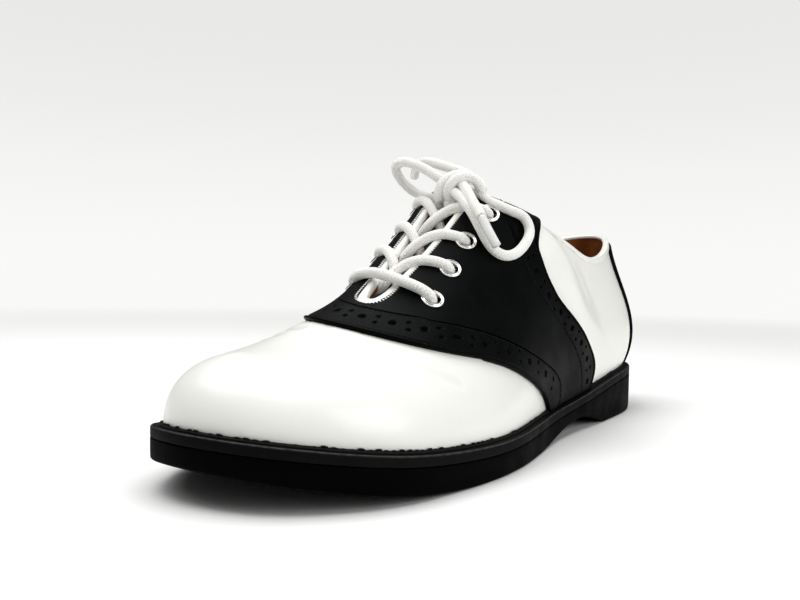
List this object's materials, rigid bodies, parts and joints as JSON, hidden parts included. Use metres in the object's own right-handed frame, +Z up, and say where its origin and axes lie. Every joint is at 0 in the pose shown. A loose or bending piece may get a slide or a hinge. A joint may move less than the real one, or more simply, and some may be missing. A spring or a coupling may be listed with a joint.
{
  "type": "saddle derby shoe",
  "caption": "Lace-up dress shoe for the left foot with a hollow white upper, a black punched saddle over the instep, a laced throat and a black sole with a low heel.",
  "frame": {"origin": "on the floor under the middle of the shoe's box, lace cords left out", "axes": "+Z up, -Y towards the toe, +X towards the wearer's left, the outer side of this left shoe"},
  "size_m": [0.0972, 0.2834, 0.1149],
  "materials": {
    "black_rubber": "satin",
    "grey_rubber": "satin",
    "brown_leather": "matte",
    "white_leather": "gloss",
    "black_leather": "satin",
    "nickel": "gloss",
    "white_cotton": "matte",
    "clear_plastic": "gloss"
  },
  "bodies": {
    "root": {"outsole": "black_rubber", "welt": "grey_rubber", "insole": "brown_leather", "upper": "white_leather", "tongue": "black_leather", "saddle": "black_leather", "band_front": "black_leather", "band_rear_lateral": "black_leather", "band_rear_medial": "black_leather", "heel_counter": "black_leather", "collar_binding": "white_leather", "eyelet_lateral_1": "nickel", "eyelet_lateral_2": "nickel", "eyelet_lateral_3": "nickel", "eyelet_lateral_4": "nickel", "eyelet_medial_1": "nickel", "eyelet_medial_2": "nickel", "eyelet_medial_3": "nickel", "eyelet_medial_4": "nickel", "lace_bar": "white_cotton", "lace_cross_1": "white_cotton", "lace_cross_2": "white_cotton", "lace_cross_3": "white_cotton", "lace_knot": "white_cotton", "lace_loop_lateral": "white_cotton", "lace_loop_medial": "white_cotton", "lace_end_lateral": "white_cotton", "lace_end_medial": "white_cotton", "lace_tip_lateral": "clear_plastic", "lace_tip_medial": "clear_plastic"}
  },
  "joints": []
}
